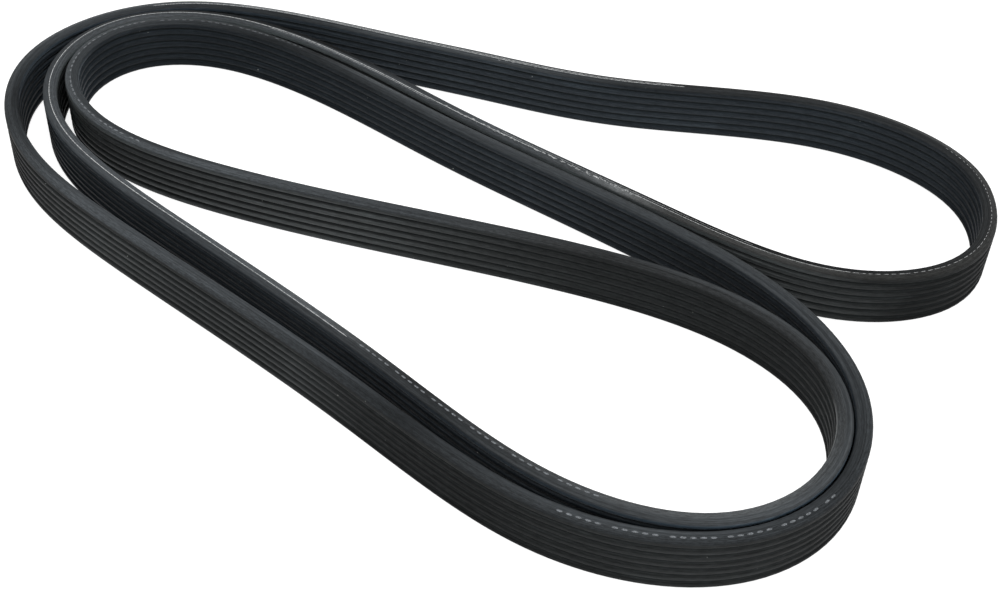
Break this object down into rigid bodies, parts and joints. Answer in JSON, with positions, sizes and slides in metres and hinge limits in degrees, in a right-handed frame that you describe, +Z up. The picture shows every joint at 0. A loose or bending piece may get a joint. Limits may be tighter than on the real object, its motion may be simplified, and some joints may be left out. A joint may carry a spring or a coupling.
{
  "type": "serpentine belt",
  "caption": "Endless rubber drive belt with lengthwise ribs on both faces, rolled up once and standing on its edge.",
  "frame": {"origin": "centre of the loop's bounding box in plan, on the surface that the belt's lower edge stands on", "axes": "+X along the loop's longest extent, towards the lone right-hand loop; +Z up, across the belt's width"},
  "size_m": [0.4462, 0.3318, 0.0249],
  "materials": {
    "belt_rubber": "matte, slightly greyed"
  },
  "bodies": {
    "root": {"ribbed_belt": "belt_rubber"}
  },
  "joints": []
}
